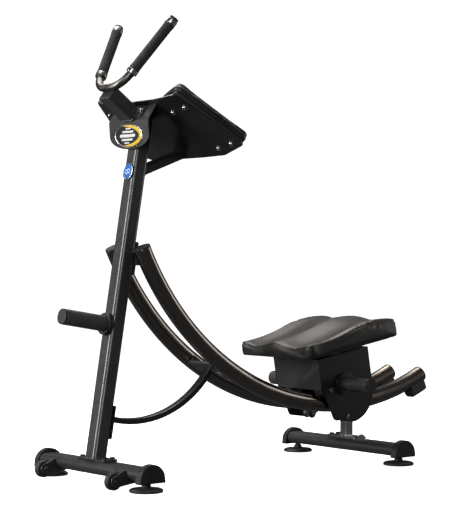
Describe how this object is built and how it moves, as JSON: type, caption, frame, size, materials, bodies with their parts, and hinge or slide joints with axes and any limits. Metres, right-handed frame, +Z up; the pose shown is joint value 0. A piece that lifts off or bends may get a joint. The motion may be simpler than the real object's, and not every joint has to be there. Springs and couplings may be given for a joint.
{
  "type": "ab crunch machine",
  "caption": "Gym machine with a padded knee carriage that rolls along two curved rails towards a leaning upright with elbow pads and a forked handle.",
  "frame": {"origin": "on the floor under the middle of the bounding box", "axes": "+X from the upright to the free end of the rails, +Y to the left side of a user facing the upright, +Z up"},
  "size_m": [1.4836, 0.621, 1.4553],
  "materials": {
    "frame_paint": "satin",
    "rail_chrome": "gloss",
    "bright_metal": "satin",
    "fastener_steel": "satin",
    "pad_leather": "satin",
    "grip_rubber": "matt",
    "black_rubber": "matt",
    "black_plastic": "satin",
    "roller_nylon": "satin",
    "badge_print": "gloss",
    "emblem_blue": "gloss",
    "board_wood": "matt",
    "ring_chrome": "gloss"
  },
  "bodies": {
    "frame": {"badge_face": "badge_print", "badge_plate": "frame_paint", "brace": "frame_paint", "cradle": "frame_paint", "elbow_boards": "board_wood", "elbow_pad_left": "pad_leather", "elbow_pad_right": "pad_leather", "foot_bar_caps": "black_plastic", "foot_nuts": "fastener_steel", "frame_bolts": "fastener_steel", "front_foot_bar": "frame_paint", "grip_left": "grip_rubber", "grip_right": "grip_rubber", "grip_rings": "ring_chrome", "handle_bar": "frame_paint", "handle_end_plugs": "black_plastic", "handle_stem": "frame_paint", "pad_bolts": "fastener_steel", "pad_strut": "frame_paint", "rail_bumpers": "black_rubber", "rail_end_caps": "black_plastic", "rail_left": "rail_chrome", "rail_mid_bracket": "frame_paint", "rail_right": "rail_chrome", "rail_top_bracket": "frame_paint", "rear_cross_member": "bright_metal", "rear_foot_bar": "frame_paint", "rear_post": "bright_metal", "round_emblem": "emblem_blue", "stem_bolts": "fastener_steel", "storage_collar": "black_plastic", "storage_end_cap": "black_plastic", "storage_post": "frame_paint", "upright": "frame_paint", "upright_foot_plate": "frame_paint", "wheel_axles": "fastener_steel", "wheel_brackets": "frame_paint"},
    "carriage": {"carriage_plate_left": "frame_paint", "carriage_plate_right": "frame_paint", "carriage_cover": "frame_paint", "roller_axles": "fastener_steel", "carriage_posts": "frame_paint", "post_collars": "black_plastic", "post_end_caps": "black_plastic", "swivel_base": "fastener_steel"},
    "seat": {"swivel_top": "fastener_steel", "seat_board": "board_wood", "seat_pad": "pad_leather"},
    "upper_roller_front_left": {"upper_roller_front_left": "roller_nylon"},
    "upper_roller_front_right": {"upper_roller_front_right": "roller_nylon"},
    "upper_roller_rear_left": {"upper_roller_rear_left": "roller_nylon"},
    "upper_roller_rear_right": {"upper_roller_rear_right": "roller_nylon"},
    "lower_roller_left": {"lower_roller_left": "roller_nylon"},
    "lower_roller_right": {"lower_roller_right": "roller_nylon"},
    "foot_front_left": {"foot_front_left": "black_rubber"},
    "foot_front_right": {"foot_front_right": "black_rubber"},
    "foot_rear_left": {"foot_rear_left": "black_rubber"},
    "foot_rear_right": {"foot_rear_right": "black_rubber"},
    "wheel_left": {"wheel_left": "black_plastic"},
    "wheel_right": {"wheel_right": "black_plastic"}
  },
  "joints": [
    {"name": "carriage_roll", "type": "hinge", "parent": "frame", "child": "carriage", "pos_m": [0.34074, 0, 1.119], "axis": [0, 1, 0], "range_deg": [-18, 52]},
    {"name": "seat_swivel", "type": "hinge", "parent": "carriage", "child": "seat", "pos_m": [0.31122, 0, 0.38583], "axis": [-0.1685, 0, 0.9857], "range_deg": [-30, 30]},
    {"name": "upper_roller_front_left_spin", "type": "hinge", "parent": "carriage", "child": "upper_roller_front_left", "pos_m": [0.26643, 0.0773, 0.25218], "axis": [0, 1, 0], "continuous": true},
    {"name": "upper_roller_front_right_spin", "type": "hinge", "parent": "carriage", "child": "upper_roller_front_right", "pos_m": [0.26643, -0.0773, 0.25218], "axis": [0, 1, 0], "continuous": true},
    {"name": "upper_roller_rear_left_spin", "type": "hinge", "parent": "carriage", "child": "upper_roller_rear_left", "pos_m": [0.41506, 0.0773, 0.25218], "axis": [0, 1, 0], "continuous": true},
    {"name": "upper_roller_rear_right_spin", "type": "hinge", "parent": "carriage", "child": "upper_roller_rear_right", "pos_m": [0.41506, -0.0773, 0.25218], "axis": [0, 1, 0], "continuous": true},
    {"name": "lower_roller_left_spin", "type": "hinge", "parent": "carriage", "child": "lower_roller_left", "pos_m": [0.34074, 0.0773, 0.158], "axis": [0, 1, 0], "continuous": true},
    {"name": "lower_roller_right_spin", "type": "hinge", "parent": "carriage", "child": "lower_roller_right", "pos_m": [0.34074, -0.0773, 0.158], "axis": [0, 1, 0], "continuous": true},
    {"name": "wheel_left_spin", "type": "hinge", "parent": "frame", "child": "wheel_left", "pos_m": [-0.68176, 0.194, 0.0315], "axis": [0, 1, 0], "continuous": true},
    {"name": "wheel_right_spin", "type": "hinge", "parent": "frame", "child": "wheel_right", "pos_m": [-0.68176, -0.194, 0.0315], "axis": [0, 1, 0], "continuous": true},
    {"name": "foot_front_left_screw", "type": "slide", "parent": "frame", "child": "foot_front_left", "axis": [0, 0, -1], "range_m": [0, 0.015]},
    {"name": "foot_front_right_screw", "type": "slide", "parent": "frame", "child": "foot_front_right", "axis": [0, 0, -1], "range_m": [0, 0.015]},
    {"name": "foot_rear_left_screw", "type": "slide", "parent": "frame", "child": "foot_rear_left", "axis": [0, 0, -1], "range_m": [0, 0.015]},
    {"name": "foot_rear_right_screw", "type": "slide", "parent": "frame", "child": "foot_rear_right", "axis": [0, 0, -1], "range_m": [0, 0.015]}
  ],
  "couplings": [
    {"joint": "upper_roller_front_left_spin", "follows": "carriage_roll", "ratio": -44.525},
    {"joint": "upper_roller_front_right_spin", "follows": "carriage_roll", "ratio": -44.525},
    {"joint": "upper_roller_rear_left_spin", "follows": "carriage_roll", "ratio": -44.525},
    {"joint": "upper_roller_rear_right_spin", "follows": "carriage_roll", "ratio": -44.525},
    {"joint": "lower_roller_left_spin", "follows": "carriage_roll", "ratio": 63.033},
    {"joint": "lower_roller_right_spin", "follows": "carriage_roll", "ratio": 63.033}
  ]
}
